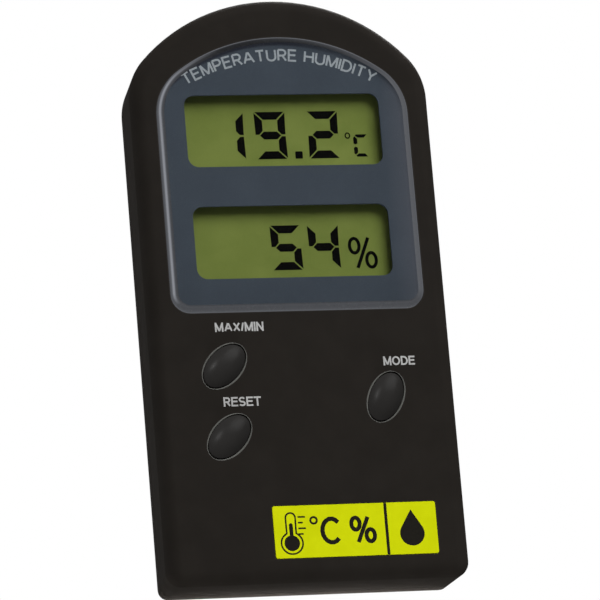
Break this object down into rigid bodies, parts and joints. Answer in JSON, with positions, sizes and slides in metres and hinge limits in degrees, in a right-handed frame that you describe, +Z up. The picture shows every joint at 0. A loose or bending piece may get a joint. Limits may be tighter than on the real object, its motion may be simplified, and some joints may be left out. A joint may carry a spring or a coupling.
{
  "type": "maximum minimum thermometer",
  "caption": "Hand-size digital maximum minimum thermometer and hygrometer with an arched case, two display windows, press buttons, a fold-out stand and a sliding battery door.",
  "frame": {"origin": "centre of the flat bottom rest face, halfway between the front and rear faces", "axes": "+Z up along the height, +X to the right as seen from the front, the display faces -Y"},
  "size_m": [0.0566, 0.0173, 0.1104],
  "materials": {
    "cover_plastic": "fine satin moulded texture",
    "clear_lens": "polished clear acrylic",
    "faceplate_slate": "printed slate grey film",
    "black_tape": "thin foam tape",
    "label_film": "printed yellow-green film",
    "polarizer_film": "smooth film",
    "lcd_glass": "float glass",
    "crystal_layer": "liquid crystal cell with segments",
    "reflector_film": "pearl reflector film",
    "white_frame": "moulded",
    "zebra_rubber": "layered conductive rubber",
    "circuit_board": "solder mask on glass laminate",
    "black_epoxy": "epoxy blob",
    "tin_metal": "drawn can",
    "ceramic_parts": "ceramic with tinned ends",
    "sensor_shell": "moulded",
    "zinc_steel": "zinc plated",
    "black_steel": "black zinc",
    "silicone": "moulded silicone",
    "button_plastic": "glossy moulded",
    "carbon_rubber": "conductive carbon",
    "cell_jacket": "printed jacket over steel",
    "spring_steel": "nickel plated",
    "red_wire": "PVC insulation",
    "black_wire": "PVC insulation"
  },
  "bodies": {
    "housing": {"front_cover": "cover_plastic", "rear_cover": "cover_plastic", "display_lens": "clear_lens", "faceplate": "faceplate_slate", "lens_tape": "black_tape", "front_label": "label_film", "lcd_front_polarizer": "polarizer_film", "lcd_front_glass": "lcd_glass", "lcd_crystal_layer": "crystal_layer", "lcd_rear_glass": "lcd_glass", "lcd_reflector": "reflector_film", "lcd_frame": "white_frame", "zebra_strip_lower": "zebra_rubber", "zebra_strip_upper": "zebra_rubber", "main_board": "circuit_board", "controller_chip": "black_epoxy", "timing_crystal": "tin_metal", "chip_components": "ceramic_parts", "humidity_sensor": "sensor_shell", "thermistor": "black_epoxy", "board_screws": "zinc_steel", "case_screws": "black_steel", "keypad_mat": "silicone", "battery_cell": "cell_jacket", "positive_contact": "spring_steel", "negative_contact": "spring_steel", "battery_spring": "spring_steel", "positive_lead": "red_wire", "negative_lead": "black_wire"},
    "max_min": {"max_min_button": "button_plastic", "max_min_contact": "carbon_rubber"},
    "reset": {"reset_button": "button_plastic", "reset_contact": "carbon_rubber"},
    "mode": {"mode_button": "button_plastic", "mode_contact": "carbon_rubber"},
    "stand": {"stand_leg": "cover_plastic"},
    "door": {"battery_door": "cover_plastic"}
  },
  "joints": [
    {"name": "max_min_press", "type": "slide", "parent": "housing", "child": "max_min", "axis": [0, 1, 0], "range_m": [0, 0.0009], "stiffness_N_per_m": 1200, "deforming": ["keypad_mat"]},
    {"name": "reset_press", "type": "slide", "parent": "housing", "child": "reset", "axis": [0, 1, 0], "range_m": [0, 0.0009], "stiffness_N_per_m": 1200, "deforming": ["keypad_mat"]},
    {"name": "mode_press", "type": "slide", "parent": "housing", "child": "mode", "axis": [0, 1, 0], "range_m": [0, 0.0009], "stiffness_N_per_m": 1200, "deforming": ["keypad_mat"]},
    {"name": "stand_hinge", "type": "hinge", "parent": "housing", "child": "stand", "pos_m": [0, 0.0068, 0.0295], "axis": [-1, 0, 0], "range_deg": [0, 125]},
    {"name": "battery_door_slide", "type": "slide", "parent": "housing", "child": "door", "axis": [0, 0, -1], "range_m": [0, 0.022]}
  ]
}
